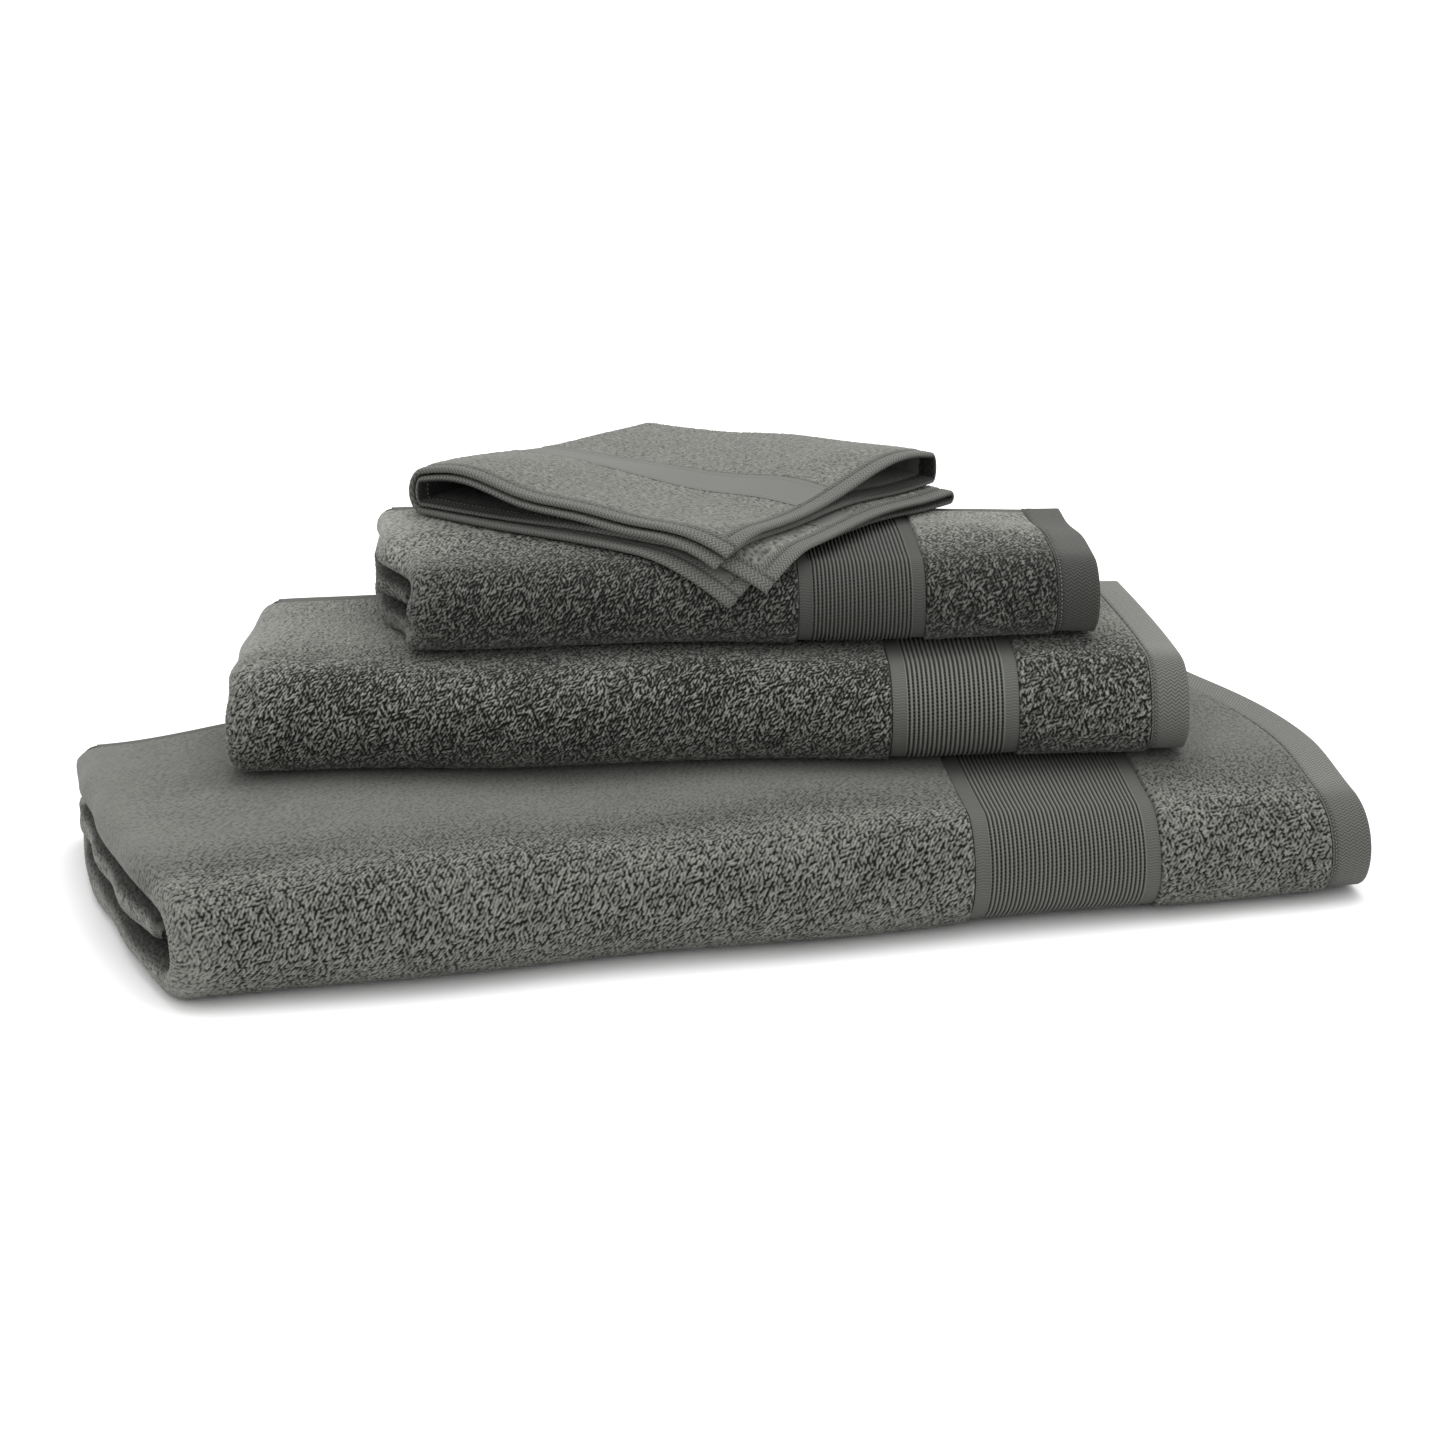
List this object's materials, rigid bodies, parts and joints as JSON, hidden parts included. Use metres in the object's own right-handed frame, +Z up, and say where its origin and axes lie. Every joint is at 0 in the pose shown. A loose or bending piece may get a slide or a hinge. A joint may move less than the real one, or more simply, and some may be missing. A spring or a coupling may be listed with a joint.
{
  "type": "bath towel set",
  "caption": "Stack of folded terry towels: bath sheet, bath towel, hand towel and a quarter-folded washcloth, each lifting off the one below.",
  "frame": {"origin": "centre of the bath sheet's underside", "axes": "+Z up; +X along the bath sheet to its open hems, with its end fold at -X; its round front wrap faces -Y"},
  "size_m": [0.75, 0.4832, 0.2203],
  "materials": {
    "terry": "looped pile",
    "ribbed_border": "corded rib weave",
    "plain_band": "flat dobby weave",
    "hem": "turned twill hem",
    "thread": "spun sewing thread"
  },
  "bodies": {
    "bath_sheet": {"bath_sheet_terry": "terry", "bath_sheet_outer_border": "ribbed_border", "bath_sheet_inner_border": "ribbed_border", "bath_sheet_outer_end_terry": "terry", "bath_sheet_inner_end_terry": "terry", "bath_sheet_outer_end_hem": "hem", "bath_sheet_inner_end_hem": "hem", "bath_sheet_side_hems": "hem", "bath_sheet_stitching": "thread"},
    "bath_towel": {"bath_towel_terry": "terry", "bath_towel_outer_border": "ribbed_border", "bath_towel_inner_border": "ribbed_border", "bath_towel_outer_end_terry": "terry", "bath_towel_inner_end_terry": "terry", "bath_towel_outer_end_hem": "hem", "bath_towel_inner_end_hem": "hem", "bath_towel_side_hems": "hem", "bath_towel_stitching": "thread"},
    "hand_towel": {"hand_towel_terry": "terry", "hand_towel_outer_border": "ribbed_border", "hand_towel_inner_border": "ribbed_border", "hand_towel_outer_end_terry": "terry", "hand_towel_inner_end_terry": "terry", "hand_towel_outer_end_hem": "hem", "hand_towel_inner_end_hem": "hem", "hand_towel_side_hems": "hem", "hand_towel_stitching": "thread"},
    "washcloth": {"washcloth_terry": "terry", "washcloth_plain_band": "plain_band", "washcloth_hems": "hem", "washcloth_corner_terry": "terry", "washcloth_corner_hems": "hem", "washcloth_stitching": "thread"}
  },
  "joints": [
    {"name": "bath_towel_lift", "type": "slide", "parent": "bath_sheet", "child": "bath_towel", "axis": [0, 0, 1], "range_m": [0, 0.15]},
    {"name": "hand_towel_lift", "type": "slide", "parent": "bath_towel", "child": "hand_towel", "axis": [0, 0, 1], "range_m": [0, 0.15]},
    {"name": "washcloth_lift", "type": "slide", "parent": "hand_towel", "child": "washcloth", "axis": [0, 0, 1], "range_m": [0, 0.15]}
  ]
}
